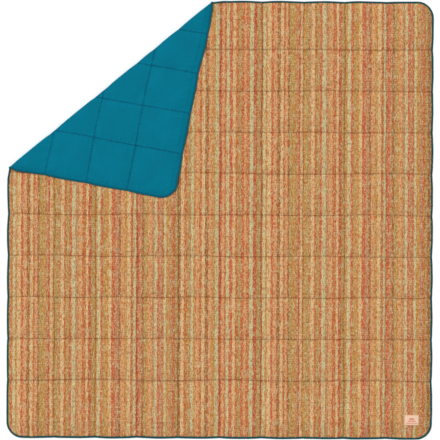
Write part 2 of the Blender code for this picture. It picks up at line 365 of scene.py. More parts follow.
def fabric_points(across, up, x, y, face, corner):
    """Points of the printed face or the back fabric."""
    loft = FACE_LOFT if face else BACK_LOFT
    move_x, move_y, rise = puff(across, up, FACE_SEED if face else BACK_SEED)
    calm = off_fold(x, y, 0.02) * 0.5 * loft
    height = SEAM_HALF + loft * fullness(rise)
    if face:
        under = corner | (from_fold(x, y) > -CORNER_REACH)
        cap = np.where(under, MIDDLE - 0.0002, 1.0)
        height = np.where(under, soft_below(height, cap), height)
    else:
        height = -soft_below(height, MIDDLE)
    return place(x + move_x * calm, y + move_y * calm, height, corner)


CORNER_REACH = from_fold(np.array([LEFT]), np.array([TOP]))[0]

# ---- meshes

def new_piece(name, points, faces, surface, smooth=True):
    mesh = bpy.data.meshes.new(name)
    mesh.from_pydata(points.tolist(), [], [list(face) for face in faces])
    mesh.materials.append(surface)
    if smooth:
        mesh.shade_smooth()
    piece = bpy.data.objects.new(name, mesh)
    bpy.context.scene.collection.objects.link(piece)
    return piece


def store(piece, name, values):
    attribute = piece.data.attributes.new(name, "FLOAT", "POINT")
    attribute.data.foreach_set("value", np.asarray(values, np.float32))


def store_uv(piece, u, v):
    layer = piece.data.uv_layers.new(name="OFBake")
    corners = np.empty(len(piece.data.loops), int)
    piece.data.loops.foreach_get("vertex_index", corners)
    uv = np.stack([u, v], 1)[corners]
    layer.data.foreach_set("uv", uv.astype(np.float32).ravel())


def store_flat_uv(piece, x, y):
    """UV map in which a unit is the blanket's length, with its middle at the map's."""
    store_uv(piece, x / LENGTH + 0.5, y / LENGTH + 0.5)


def flat_grid():
    """The flat blanket cut along the fold and finely cut at the centre row.
    Returns its points as (x, y, across, up) and the faces of the main part and the corner."""
    count = CELLS * CELL_STEPS + 1
    index = np.arange(count)
    across, up = (grid.ravel() / CELL_STEPS for grid in np.meshgrid(index, index, indexing="ij"))
    x, y = flat_point(across, up)
    mesh = bpy.data.meshes.new("flat_grid")
    mesh.from_pydata(np.stack([x, y, 0 * x], 1).tolist(), [], grid_quads(count).tolist())
    for name, values in (("across", across), ("up", up)):
        layer = mesh.attributes.new(name, "FLOAT", "POINT")
        layer.data.foreach_set("value", values.astype(np.float32))
    bm = bmesh.new()
    bm.from_mesh(mesh)
    bpy.data.meshes.remove(mesh)
    cuts = [((CORNER_HINGE[0], CORNER_HINGE[1], 0), (FOLD_OUT[0], FOLD_OUT[1], 0))]
    cuts += [((HALF_BEND * part, 0, 0), (1, 0, 0)) for part in np.linspace(-1, 1, 13)]
    for point, normal in cuts:
        everything = bm.verts[:] + bm.edges[:] + bm.faces[:]
        bmesh.ops.bisect_plane(bm, geom=everything, plane_co=point, plane_no=normal, dist=1e-6)
    across_layer = bm.verts.layers.float["across"]
    up_layer = bm.verts.layers.float["up"]
    bm.verts.index_update()
    points = np.array([(v.co.x, v.co.y, v[across_layer], v[up_layer]) for v in bm.verts])
    main, folded = [], []
    for face in bm.faces:
        middle = face.calc_center_median()
        part = folded if from_fold(middle.x, middle.y) > 0 else main
        part.append([v.index for v in face.verts])
    bm.free()
    return points, main, folded


def used_part(points, faces):
    """Only the points that the faces use, and the faces numbered to match."""
    used = sorted({index for face in faces for index in face})
    number = {index: order for order, index in enumerate(used)}
    return points[used], [[number[index] for index in face] for face in faces]


def seam_nearness(across, up):
    """1 on a row of stitches, falling to 0 a few millimetres away."""
    nearest = np.minimum(np.abs(across - np.round(across)), np.abs(up - np.round(up)))
    return np.clip(1 - nearest * CELL / SEAM_REACH, 0, 1)


def rest_order(faces, flip):
    return [face[::-1] for face in faces] if flip else faces


def fabric_piece(name, grid, faces, face, corner, surface):
    part, own_faces = used_part(grid, faces)
    x, y, across, up = part.T
    points = fabric_points(across, up, x, y, face, corner)
    piece = new_piece(name, points, rest_order(own_faces, not face), surface)
    store_flat_uv(piece, x, y)
    store(piece, "seam", seam_nearness(across, up))
    return piece


def two_sided(faces, count):
    """Faces of a closed body: an upper sheet, the same lower down, count points on, and a rim."""
    below = [[index + count for index in face[::-1]] for face in faces]
    edges = {(a, b) for face in faces for a, b in zip(face, face[1:] + face[:1])}
    rim = [(b, a, a + count, b + count) for a, b in edges if (b, a) not in edges]
    return faces + below + sorted(rim)


def fill_piece(name, grid, faces, corner, surface):
    """Wadding between the fabrics, a closed body a little inside them."""
    part, own_faces = used_part(grid, faces)
    x, y, across, up = part.T
    shells = []
    for side in (1, -1):
        rise = np.clip(puff(across, up, FACE_SEED if side > 0 else BACK_SEED)[2], 0, 1)
        height = side * (0.0003 + 0.62 * BACK_LOFT * smoothstep(rise))
        shells.append(place(x, y, height, corner))
    return new_piece(name, np.concatenate(shells), two_sided(own_faces, len(x)), surface)


def fold_strip(name, grid, face, surface):
    """The fabric that turns over along the fold line, between the laid part and the corner."""
    line = grid[np.abs(from_fold(grid[:, 0], grid[:, 1])) < 2e-6]
    along = line[:, 0] * FOLD_ALONG[0] + line[:, 1] * FOLD_ALONG[1]
    line = line[np.argsort(along)]
    x, y, across, up = line.T
    laid = fabric_points(across, up, x, y, face, False)
    radius = np.maximum(FOLD_HEIGHT - laid[:, 2], 0.0002)
    plump = MIDDLE - SEAM_HALF - fabric_points(across, up, x, y, False, False)[:, 2]
    reach = (0.0006 + 0.6 * np.maximum(plump, 0)) * (0.4 if face else 1)
    angles = np.linspace(-math.pi / 2, math.pi / 2, 17)
    rings = []
    for angle in angles:
        out = reach * math.cos(angle)
        rings.append(np.stack([laid[:, 0] + out * FOLD_OUT[0], laid[:, 1] + out * FOLD_OUT[1],
                               FOLD_HEIGHT + radius * math.sin(angle)], 1))
    points = np.concatenate(rings)
    count = len(line)
    first = (np.arange(len(angles) - 1)[:, None] * count + np.arange(count - 1)).ravel()
    faces = np.stack([first, first + 1, first + count + 1, first + count], 1).tolist()
    piece = new_piece(name, points, rest_order(faces, face), surface)
    turn = np.repeat(angles, count) * np.tile(radius, len(angles))
    store_flat_uv(piece, np.tile(x, len(angles)) + turn * FOLD_OUT[0],
                  np.tile(y, len(angles)) + turn * FOLD_OUT[1])
    store(piece, "seam", np.tile(seam_nearness(across, up), len(angles)))
    return piece


# ---- edge binding

def edge_path():
    """The flat outline anticlockwise from the corner: points and inward normals."""
    step = 0.006
    points, normals = [], []
    straight = {0: LENGTH - 2 * CORNER_RADIUS, 1: WIDTH - 2 * CORNER_RADIUS}
    turns = [(-1, 1, math.pi / 2), (-1, -1, math.pi), (1, -1, 1.5 * math.pi), (1, 1, 0)]
    for corner, (side_x, side_y, start) in enumerate(turns):
        centre = np.array([side_x * (WIDTH / 2 - CORNER_RADIUS),
                           side_y * (LENGTH / 2 - CORNER_RADIUS)])
        bends = max(6, int(CORNER_RADIUS * math.pi / 2 / step))
        for angle in np.linspace(start, start + math.pi / 2, bends, endpoint=False):
            way = np.array([math.cos(angle), math.sin(angle)])
            points.append(centre + CORNER_RADIUS * way)
            normals.append(-way)
        angle = start + math.pi / 2
        way = np.array([math.cos(angle), math.sin(angle)])
        onward = np.array([-way[1], way[0]])
        run = straight[corner % 2]
        for distance in np.linspace(0, run, max(2, int(run / step)), endpoint=False):
            points.append(centre + CORNER_RADIUS * way + distance * onward)
            normals.append(-way)
    return np.array(points), np.array(normals)


def distances(path):
    """How far along a path each of its points is."""
    return np.concatenate([[0], np.cumsum(np.linalg.norm(np.diff(path, axis=0), axis=1))])


def binding_runs():
    """The edge in two runs: round the laid part, and round the folded corner."""
    points, normals = edge_path()
    laid = from_fold(points[:, 0], points[:, 1]) < -0.002
    corner = from_fold(points[:, 0], points[:, 1]) > 0.002
    first = np.flatnonzero(laid & ~np.roll(laid, 1))[0]
    order = np.roll(np.arange(len(points)), -first)
    runs = {}
    for name, chosen in (("laid", laid), ("corner", corner)):
        own = order[chosen[order]]
        if name == "corner":
            own = np.concatenate([own[own > first], own[own < first]])
        ends = (FOLD_LEFT_END, FOLD_TOP_END) if name == "laid" else (FOLD_TOP_END, FOLD_LEFT_END)
        path = np.concatenate([[ends[0]], points[own], [ends[1]]])
        inward = np.concatenate([normals[own[:1]], normals[own], normals[own[-1:]]])
        runs[name] = (path, inward)
    return runs


# section of the tape: distance in from the edge and height, as shares of its width and half
TAPE_SECTION = ((1.0, 0.62), (1.0, 0.92), (0.66, 1.0), (0.2, 0.98), (0.05, 0.7), (0.0, 0.0),
                (0.05, -0.7), (0.2, -0.98), (0.66, -1.0), (1.0, -0.92), (1.0, -0.62),
                (0.17, -0.6), (0.13, 0.0), (0.17, 0.6))


def fold_slide(inward):
    """How far along the fold line to go for each metre in from the edge, and which way."""
    slope = inward @ FOLD_ALONG
    return FOLD_ALONG[None, :] / slope[:, None]


def binding_flat(path, inward):
    """Flat points and heights of the tape along a run, one row for each point of the section."""
    travelled = distances(path)
    to_end = np.minimum(travelled, travelled[-1] - travelled)
    mitre = (1 - smoothstep(to_end / 0.02))[:, None]
    way = inward * (1 - mitre) + fold_slide(inward) * mitre
    rows = []
    for number, (share_in, share_up) in enumerate(TAPE_SECTION):
        crinkle = 0.06 * ripple(travelled, 60 + number // 3, 6, (0.008, 0.03))
        crinkle *= smoothstep(to_end / 0.03)
        distance = TAPE_WIDTH * (share_in + 0.4 * crinkle * (share_in > 0.5))
        spot = path + way * distance[:, None]
        height = TAPE_HALF * (share_up + 0.5 * crinkle * np.sign(share_up))
        rows.append((spot, height))
    return rows, travelled


def swept(rows):
    """Faces between rows of points, the rows running round the section."""
    count = len(rows[0])
    faces = []
    for row in range(len(rows)):
        after = (row + 1) % len(rows)
        for step in range(count - 1):
            faces.append((row * count + step, row * count + step + 1,
                          after * count + step + 1, after * count + step))
    ends = [[row * count for row in range(len(rows))],
            [row * count + count - 1 for row in range(len(rows))][::-1]]
    return faces + ends


def tape_piece(name, points, along, surface):
    """Tape from one row of points for each point of its section, with distances along it."""
    piece = new_piece(name, np.concatenate(points), swept(points), surface)
    store(piece, "along", np.tile(along, len(points)))
    # side: 1 on the tape's face side, 0 on its back, the mask of the face side's painted shade
    store(piece, "side", np.repeat([0.5 + 0.5 * up for _, up in TAPE_SECTION], len(along)))
    return piece


def binding_piece(name, run, corner, surface):
    rows, travelled = binding_flat(*run)
    points = [place(spot[:, 0], spot[:, 1], height, corner) for spot, height in rows]
    return tape_piece(name, points, travelled, surface)


def binding_turn(name, run, at_start, surface):
    """The tape where it turns over with the cloth at one end of the fold line."""
    rows, _ = binding_flat(*run)
    pick = 0 if at_start else -1
    angles = np.linspace(-math.pi / 2, math.pi / 2, 15)
    points = []
    for spot, height in rows:
        laid = place(spot[[pick], 0], spot[[pick], 1], height[[pick]])[0]
        radius = FOLD_HEIGHT - laid[2]
        out = 0.35 * radius * np.cos(angles)
        points.append(np.stack([laid[0] + out * FOLD_OUT[0], laid[1] + out * FOLD_OUT[1],
                                FOLD_HEIGHT + radius * np.sin(angles)], 1))
    return tape_piece(name, points, angles * TURN_RADIUS, surface)


# ---- stitches

def stitch_shape():
    """One stitch of unit length, width and height, as rings of points along it."""
    rings = [(-0.5, 0.25), (-0.3, 0.85), (0.0, 1.0), (0.3, 0.85), (0.5, 0.25)]
    sides = 6
    turns = [2 * math.pi * side / sides for side in range(sides)]
    points = [(along, 0.5 * size * math.cos(turn), 0.5 * size * math.sin(turn))
              for along, size in rings for turn in turns]
    faces = []
    for start in range(0, (len(rings) - 1) * sides, sides):
        for side in range(sides):
            after = (side + 1) % sides
            faces.append((start + side, start + after, start + sides + after, start + sides + side))
    faces.append(tuple(range(sides))[::-1])
    faces.append(tuple((len(rings) - 1) * sides + side for side in range(sides)))
    return np.array(points), faces


STITCH_POINTS, STITCH_FACES = stitch_shape()


def stitches(line, height, pitch, length, width, seed):
    """Flat points, heights and faces of the stitches along a flat line."""
    rng = np.random.default_rng(seed)
    travelled = distances(line)
    count = max(1, int(travelled[-1] / pitch))
    at = (np.arange(count) + 0.5) * travelled[-1] / count
    behind, middle, ahead = (
        np.stack([np.interp(at + shift, travelled, line[:, k]) for k in range(2)], 1)
        for shift in (-0.001, 0, 0.001))
    way = ahead - behind
    way /= np.linalg.norm(way, axis=1)[:, None]
    turn = rng.normal(0, 0.05, count)
    way = np.stack([way[:, 0] - turn * way[:, 1], way[:, 1] + turn * way[:, 0]], 1)
    side = np.stack([-way[:, 1], way[:, 0]], 1)
    reach = length * rng.uniform(0.9, 1.05, count)
    shape = STITCH_POINTS
    spots = (middle[:, None, :] + way[:, None, :] * (shape[None, :, 0:1] * reach[:, None, None])
             + side[:, None, :] * (shape[None, :, 1:2] * width))
    dip = 1 - (2 * np.abs(shape[:, 0])) ** 2 * 0.5
    heights = height + 0.55 * width * shape[:, 2] * dip - 0.2 * width * (1 - dip)
    heights = np.broadcast_to(heights, (count, len(shape)))
    faces = [[index + number * len(shape) for index in face]
             for number in range(count) for face in STITCH_FACES]
    return spots.reshape(-1, 2), heights.ravel(), faces


def stitched_piece(name, runs, corner, surface):
    """Stitches along flat lines, each run a (line, height, pitch, length, width, seed)."""
    points, faces, count = [], [], 0
    for run in runs:
        spots, heights, own = stitches(*run)
        points.append(place(spots[:, 0], spots[:, 1], heights, corner))
        faces += [[index + count for index in face] for face in own]
        count += len(spots)
    return new_piece(name, np.concatenate(points), faces, surface)


# pitch, length and width of each kind of stitch
QUILT_STITCH = (0.0048, 0.0040, 0.0011)
TAPE_STITCH = (0.0036, 0.0029, 0.0009)
LABEL_STITCH = (0.0026, 0.0021, 0.0008)
THREAD_LIFT = 0.0002


def row_line(number, lengthways):
    """Flat points along one row of quilting, with their distances beyond the fold."""
    steps = np.linspace(0.02, CELLS - 0.02, 500)
    still = np.full_like(steps, number + 1.0)
    x, y = flat_point(still, steps) if lengthways else flat_point(steps, still)
    return np.stack([x, y], 1), from_fold(x, y)


def quilting_run(line, side, seed):
    """Stitches along a row, on the printed face (side 1) or on the back (side -1)."""
    pitch, length, width = QUILT_STITCH
    return line, side * (SEAM_HALF + THREAD_LIFT), pitch, length, width, seed


# ---- materials

def linear(color):
    """Scene colour of an 8-bit display colour."""
    shares = [value / 255 for value in color]
    return [s / 12.92 if s <= 0.04045 else ((s + 0.055) / 1.055) ** 2.4 for s in shares] + [1]


class Nodes:
    """Short ways to add nodes to a material."""

    def __init__(self, name):
        self.material = bpy.data.materials.new(name)
        self.material.use_nodes = True
        self.tree = self.material.node_tree
        self.shader = self.tree.nodes["Principled BSDF"]

    def add(self, kind, inputs=(), **settings):
        node = self.tree.nodes.new(kind)
        for key, value in settings.items():
            setattr(node, key, value)
        for key, value in dict(inputs).items():
            self.feed(node.inputs[key], value)
        return node

    def feed(self, socket, value):
        if isinstance(value, bpy.types.NodeSocket):
            self.tree.links.new(value, socket)
        else:
            socket.default_value = value

    def math(self, operation, *values):
        node = self.add("ShaderNodeMath", operation=operation)
        for socket, value in zip(node.inputs, values):
            self.feed(socket, value)
        return node.outputs[0]

    def mix(self, share, first, second, way="MIX"):
        node = self.add("ShaderNodeMix", data_type="RGBA", blend_type=way)
        self.feed(node.inputs[0], share)
        self.feed(node.inputs[6], first)
        self.feed(node.inputs[7], second)
        return node.outputs[2]

    def noise(self, vector, scale, detail=2.0, roughness=0.5):
        node = self.add("ShaderNodeTexNoise", {"Vector": vector, "Scale": scale,
                                               "Detail": detail, "Roughness": roughness})
        return node.outputs[0]

    def grain(self, x, y, across, up, seed, detail=2.0, roughness=0.6):
        """Noise whose spots measure about across by up, in metres."""
        spot = self.vector(self.math("DIVIDE", x, across), self.math("DIVIDE", y, up), seed)
        return self.noise(spot, 1.0, detail, roughness)

    def vector(self, x, y, z=0.0):
        return self.add("ShaderNodeCombineXYZ", {0: x, 1: y, 2: z}).outputs[0]

    def level(self, value, low, high, to_low=0.0, to_high=1.0):
        node = self.add("ShaderNodeMapRange", {0: value, 1: low, 2: high, 3: to_low, 4: to_high})
        return node.outputs[0]

    def ramp(self, value, stops, way="LINEAR"):
        node = self.add("ShaderNodeValToRGB", {0: value})
        ramp = node.color_ramp
        ramp.interpolation = way
        while len(ramp.elements) > 1:
            ramp.elements.remove(ramp.elements[-1])
        ramp.elements[0].position, ramp.elements[0].color = stops[0]
        for position, color in stops[1:]:
            ramp.elements.new(position).color = color
        return node.outputs[0]

    def cloth_place(self):
        """x and y on the flat cloth, in metres from its middle."""
        uv = self.add("ShaderNodeUVMap", uv_map="OFBake").outputs[0]
        parts = self.add("ShaderNodeSeparateXYZ", {0: uv})
        x = self.math("MULTIPLY", self.math("SUBTRACT", parts.outputs[0], 0.5), LENGTH)
        y = self.math("MULTIPLY", self.math("SUBTRACT", parts.outputs[1], 0.5), LENGTH)
        return x, y

    def solid_place(self):
        return self.add("ShaderNodeTexCoord").outputs["Object"]

    def times(self, first, second):
        return self.math("MULTIPLY", first, second)

    def two_tone(self, value, dark, pale):
        return self.mix(self.level(value, 0.3, 0.7), linear(dark), linear(pale))

    def attribute(self, name):
        return self.add("ShaderNodeAttribute", attribute_name=name).outputs["Fac"]

    def bump(self, height, distance, strength=1.0, before=None):
        node = self.add("ShaderNodeBump", {"Height": height, "Distance": distance,
                                           "Strength": strength})
        if before is not None:
            self.feed(node.inputs["Normal"], before)
        return node.outputs[0]

    def finish(self, color, roughness, normal=None, sheen=0.0):
        self.feed(self.shader.inputs["Base Color"], color)
        self.feed(self.shader.inputs["Roughness"], roughness)
        self.shader.inputs["Sheen Weight"].default_value = sheen
        self.shader.inputs["Specular IOR Level"].default_value = 0.06
        if normal is not None:
            self.feed(self.shader.inputs["Normal"], normal)
        return self.material


# The print's colours, as they look in even light
PRINT = {
    "sage": (194, 192, 148), "cream": (216, 184, 134), "peach": (212, 152, 106),
    "tan": (178, 132, 84), "ochre": (190, 138, 66), "olive": (168, 144, 86),
    "rust": (186, 102, 54), "coral": (194, 90, 56), "red": (184, 78, 50),
    "dusty": (182, 130, 100), "brown": (150, 94, 50), "ground": (180, 128, 80),
    "pale fleck": (232, 206, 158), "dark fleck": (118, 66, 24),
}
PRINT_TONE = (0.975, 0.955, 0.935, 1.0)     # warms and darkens the whole print a little
WEAVE_PITCH = 0.0011
EVENNESS = 0.05           # how far the stripes fade into the ground colour
# colour, size across and up in metres, seed and strength of each kind of dash
DASHES = (("coral", 0.010, 0.050, 3.0, 0.55), ("ochre", 0.011, 0.070, 8.0, 0.5),
          ("sage", 0.009, 0.040, 14.0, 0.5), ("rust", 0.008, 0.030, 18.0, 0.5))

# How often a stripe takes each colour, against the others
STRIPE_SHARES = {
    "sage": 4, "cream": 5, "peach": 4, "tan": 4, "ochre": 4, "olive": 3,
    "rust": 5, "coral": 3, "red": 2, "dusty": 2, "brown": 4,
}
PALE_STRIPES = ("sage", "cream", "peach", "dusty", "olive")
STRIPE_WIDTHS = (0.009, 0.018)
STRIPE_COUNT = 88         # stripes in one repeat of the print
RAMP_STOPS = 30


def stripe_plan():
    """One repeat of the print: (colour, width) stripes drawn at random, pale by turns."""
    rng = np.random.default_rng(5)
    names = list(STRIPE_SHARES)
    shares = np.array(list(STRIPE_SHARES.values()), float)
    plan = []
    pale = np.array([name in PALE_STRIPES for name in names])
    for number in range(STRIPE_COUNT):
        open_to = shares * (pale == (number % 2 == 0))
        open_to = open_to * [name not in [used for used, _ in plan[-2:]] for name in names]
        name = names[rng.choice(len(names), p=open_to / open_to.sum())]
        plan.append((name, rng.uniform(*STRIPE_WIDTHS)))
    return plan


def stripe_color(nodes, x):
    """The stripe plan as colour ramps, each holding a run of stripes."""
    plan = stripe_plan()
    edges = np.concatenate([[0], np.cumsum([width for _, width in plan])])
    whole = float(edges[-1])
    turn = nodes.math("FLOORED_MODULO", nodes.math("SUBTRACT", x, LEFT), whole)
    color = None
    for first in range(0, len(plan), RAMP_STOPS):
        names = [name for name, _ in plan[first:first + RAMP_STOPS]]
        low, high = float(edges[first]), float(edges[first + len(names)])
        share = nodes.level(turn, low, high)
        stops = [((float(edges[first + n]) - low) / (high - low), linear(PRINT[name]))
                 for n, name in enumerate(names)]
        run = nodes.ramp(share, stops, "CONSTANT")
        later = nodes.math("GREATER_THAN", turn, low)
        color = run if color is None else nodes.mix(later, color, run)
    return color


def seam_painted_shade(nodes, color, x, y, shade, sharpness):
    """Painted shade along the rows of stitches, where the cloth dips into the seams: darkens the cloth
    there, more in some places than in others.
    """
    patchy = nodes.level(nodes.grain(x, y, 0.03, 0.03, 41.0), 0.35, 0.65, 0.5, 1.0)
    seam = nodes.times(nodes.math("POWER", nodes.attribute("seam"), sharpness), patchy)
    return nodes.mix(seam, color, linear(shade), "MULTIPLY")


def from_seam(nodes, place, lines):
    """Distance in metres from the nearest of a set of evenly spaced rows of stitches."""
    pitch = float(lines[2] - lines[1])
    turns = nodes.math("DIVIDE", nodes.math("SUBTRACT", place, float(lines[1])), pitch)
    return nodes.times(nodes.math("PINGPONG", turns, 0.5), pitch)


def cloth_bump(nodes, x, y):
    """Puckers beside the seams, fine crinkles and the weave's own ribs."""
    normal = None
    for along, across, lines in ((y, x, COLUMN_LINES), (x, y, ROW_LINES)):
        away = nodes.math("EXPONENT", nodes.math("DIVIDE", from_seam(nodes, across, lines), -0.022))
        fold = nodes.grain(along, across, 0.013, 0.055, 51.0, 1.0)
        normal = nodes.bump(nodes.times(fold, away), 0.0045, 1.0, normal)
    crinkle = nodes.bump(nodes.noise(nodes.vector(x, y), 55.0, 4.0, 0.6), 0.0008, 0.7, normal)
    across = nodes.math("SINE", nodes.times(x, 2 * math.pi / WEAVE_PITCH))
    up = nodes.math("SINE", nodes.times(y, 2 * math.pi / WEAVE_PITCH))
    return nodes.bump(nodes.times(across, up), 0.00006, 0.5, crinkle)


def printed_fabric():
    nodes = Nodes("printed_stripe_cloth")
    x, y = nodes.cloth_place()
    jagged = nodes.level(nodes.grain(x, y, 0.011, 0.010, 1.0, 3.0), 0.0, 1.0, -0.0045, 0.0045)
    slow = nodes.level(nodes.grain(x, y, 0.05, 0.09, 2.0), 0.0, 1.0, -0.004, 0.004)
    moved = nodes.math("ADD", x, nodes.math("ADD", jagged, slow))
    color = nodes.mix(EVENNESS, stripe_color(nodes, moved), linear(PRINT["ground"]))

    # dashes along the stripes, in which a stripe takes another of the print's colours
    for name, across, up, seed, most in DASHES:
        dash = nodes.level(nodes.grain(x, y, across, up, seed), 0.53, 0.63, 0.0, most)
        color = nodes.mix(dash, color, linear(PRINT[name]))

    # short rungs across some of the stripes
    rung = nodes.math("SINE", nodes.math("ADD", nodes.times(y, 2 * math.pi / 0.0105),
                                         nodes.times(nodes.grain(x, y, 0.02, 0.05, 6.0), 9.0)))
    lane = nodes.level(nodes.grain(x, y, 0.018, 0.12, 7.0), 0.50, 0.60)
    rungs = nodes.times(nodes.level(rung, 0.0, 1.0), nodes.times(lane, 0.3))
    color = nodes.mix(rungs, color, linear(PRINT["pale fleck"]))

    # heather: flecks of pale and dark yarn
    pale = nodes.grain(x, y, 0.0056, 0.0110, 21.0, 1.3)
    dark = nodes.grain(x, y, 0.0056, 0.0125, 33.0, 1.3)
    color = nodes.mix(nodes.level(pale, 0.53, 0.66, 0.0, 0.44), color, linear(PRINT["pale fleck"]))
    color = nodes.mix(nodes.level(dark, 0.50, 0.65, 0.0, 0.52), color, linear(PRINT["dark fleck"]))
    color = nodes.mix(1.0, color, PRINT_TONE, "MULTIPLY")
    # painted shade in the dips along the rows of stitches, multiplied in warm
    color = seam_painted_shade(nodes, color, x, y, (200, 176, 158), 2.0)
    rough = nodes.level(pale, 0.3, 0.7, 0.78, 0.92)
    return nodes.finish(color, rough, cloth_bump(nodes, x, y))


def teal_fabric():
    nodes = Nodes("teal_plain_cloth")
    x, y = nodes.cloth_place()
    cloud = nodes.noise(nodes.vector(x, y, 5.0), 9.0, 4.0, 0.6)
    color = nodes.two_tone(cloud, (0, 106, 130), (1, 114, 139))
    yarn = nodes.grain(x, y, 0.001, 0.01, 7.0)
    color = nodes.mix(nodes.level(yarn, 0.3, 0.8, 0.0, 0.12), color, linear((0, 124, 150)))
    # painted shade in the dips along the rows of stitches
    color = seam_painted_shade(nodes, color, x, y, (120, 180, 194), 2.2)
    rough = nodes.level(cloud, 0.2, 0.8, 0.75, 0.9)
    return nodes.finish(color, rough, cloth_bump(nodes, x, y))


def tape_cloth():
    nodes = Nodes("teal_binding_tape")
    spot = nodes.solid_place()
    along = nodes.attribute("along")
    cloud = nodes.noise(nodes.vector(along, 0.0, 2.0), 60.0, 3.0)
    # the tape is one cloth: its face side is painted darker than its back, as painted shade where the puffed
    # print shades the laid tape
    face = nodes.two_tone(cloud, (18, 66, 68), (28, 80, 82))
    back = nodes.two_tone(cloud, (2, 86, 104), (4, 96, 116))
    base = nodes.mix(nodes.level(nodes.attribute("side"), 0.35, 0.65), back, face)
    rib = nodes.math("SINE", nodes.times(along, 2 * math.pi / 0.0012))
    base = nodes.mix(nodes.level(rib, -1.0, 1.0, 0.0, 0.15), base, linear((34, 106, 116)))
    speck = nodes.noise(spot, 400.0, 2.0)
    normal = nodes.bump(nodes.math("ADD", rib, speck), 0.00012, 0.7)
    return nodes.finish(base, nodes.level(speck, 0.2, 0.8, 0.75, 0.9), normal)


def thread(name, dark, pale):
    nodes = Nodes(name)
    spot = nodes.solid_place()
    twist = nodes.noise(spot, 1800.0, 2.0)
    tone = nodes.noise(spot, 30.0, 2.0)
    color = nodes.two_tone(tone, dark, pale)
    return nodes.finish(color, nodes.level(twist, 0.2, 0.8, 0.45, 0.7),
                        nodes.bump(twist, 0.0001, 0.6), 0.1)


def wadding():
    nodes = Nodes("white_wadding")
    spot = nodes.solid_place()
    fibre = nodes.noise(spot, 260.0, 5.0, 0.7)
    color = nodes.two_tone(fibre, (214, 214, 208), (240, 240, 236))
    return nodes.finish(color, nodes.level(fibre, 0.2, 0.8, 0.85, 0.98),
                        nodes.bump(fibre, 0.0012, 0.8), 0.2)


def label_cloth():
    """Pale woven label with a darker border and three plain bars."""
    nodes = Nodes("pale_woven_label")
    uv = nodes.add("ShaderNodeUVMap", uv_map="OFBake").outputs[0]
    parts = nodes.add("ShaderNodeSeparateXYZ", {0: uv})
    u = nodes.math("ABSOLUTE", nodes.math("SUBTRACT", parts.outputs[0], 0.5))
    v = nodes.math("SUBTRACT", parts.outputs[1], 0.5)

    def bar(middle, half_height, half_width):
        off = nodes.math("ABSOLUTE", nodes.math("SUBTRACT", v, middle))
        return nodes.times(nodes.math("LESS_THAN", off, half_height),
                          nodes.math("LESS_THAN", u, half_width))

    upper = bar(0.11, 0.085, 0.17)
    lower = bar(-0.10, 0.05, 0.27)
    foot = bar(-0.30, 0.035, 0.40)
    mark = nodes.math("MAXIMUM", nodes.math("MAXIMUM", upper, lower), foot)
    yarn = nodes.noise(nodes.vector(nodes.times(parts.outputs[0], 8.0),
                                    parts.outputs[1]), 40.0, 3.0)
    ground = nodes.two_tone(yarn, (226, 190, 162), (238, 206, 180))
    edge = nodes.math("MAXIMUM", nodes.level(u, 0.455, 0.465),
                      nodes.level(nodes.math("ABSOLUTE", v), 0.435, 0.45))
    color = nodes.mix(nodes.times(edge, 0.5), ground, linear((216, 150, 124)))
    color = nodes.mix(nodes.times(mark, 0.8), color, linear((208, 100, 92)))
    ribs = nodes.math("SINE", nodes.times(parts.outputs[1], 2 * math.pi * 80))
    return nodes.finish(color, nodes.level(yarn, 0.2, 0.8, 0.6, 0.8),
                        nodes.bump(ribs, 0.0001, 0.6), 0.1)


# ---- pieces

SURFACES = {
    "print": printed_fabric(),
    "teal": teal_fabric(),
    "tape": tape_cloth(),
    "fill": wadding(),
    "label": label_cloth(),
    "quilt_thread": thread("rust_quilting_thread", (88, 44, 26), (118, 62, 36)),
    "bobbin_thread": thread("teal_bobbin_thread", (0, 84, 106), (0, 96, 120)),
    "tape_thread": thread("teal_binding_thread", (8, 58, 64), (14, 70, 76)),
    "label_thread": thread("peach_label_thread", (208, 150, 124), (228, 176, 150)),
}


def fasten(piece, nodes, bend=None, body=None):
    """Hides the CAD nodes the piece stands for, and makes it ride or bend."""
    if nodes:
        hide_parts(*nodes)
    if bend == "half":
        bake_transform(piece, "left_half", "right_half", start=(-HALF_BEND, 0, 0), end=(HALF_BEND, 0, 0))
    elif bend is not None:
        low, high = bend
        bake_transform(piece, "left_half", "corner", start=(*CORNER_HINGE[:2], low),
                 end=(*CORNER_HINGE[:2], high))
    else:
        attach(piece, body)
    return piece


def make_fabrics():
    grid, main, folded = flat_grid()
    spread = THICKNESS / 2 + SEAM_HALF + 0.0002
    bend = (FOLD_HEIGHT - spread, FOLD_HEIGHT + spread)
    for key, face, surface, slot in (("face", True, "print", "face_fabric"),
                                     ("back", False, "teal", "back_fabric")):
        laid = fabric_piece(f"{key}_cloth_laid", grid, main, face, False, SURFACES[surface])
        fasten(laid, [f"{slot}_left", f"{slot}_right"], bend="half")
        turned = fabric_piece(f"{key}_cloth_corner", grid, folded, face, True, SURFACES[surface])
        fasten(turned, [f"{slot}_corner"], body="corner")
        strip = fold_strip(f"{key}_cloth_fold", grid, face, SURFACES[surface])
        fasten(strip, [], bend=bend)
    for name, faces, corner, nodes in (("wadding_laid", main, False, ["fill_left", "fill_right"]),
                                       ("wadding_corner", folded, True, ["fill_corner"])):
        fill = fill_piece(name, grid, faces, corner, SURFACES["fill"])
        fasten(fill, nodes, None if corner else "half", "corner")


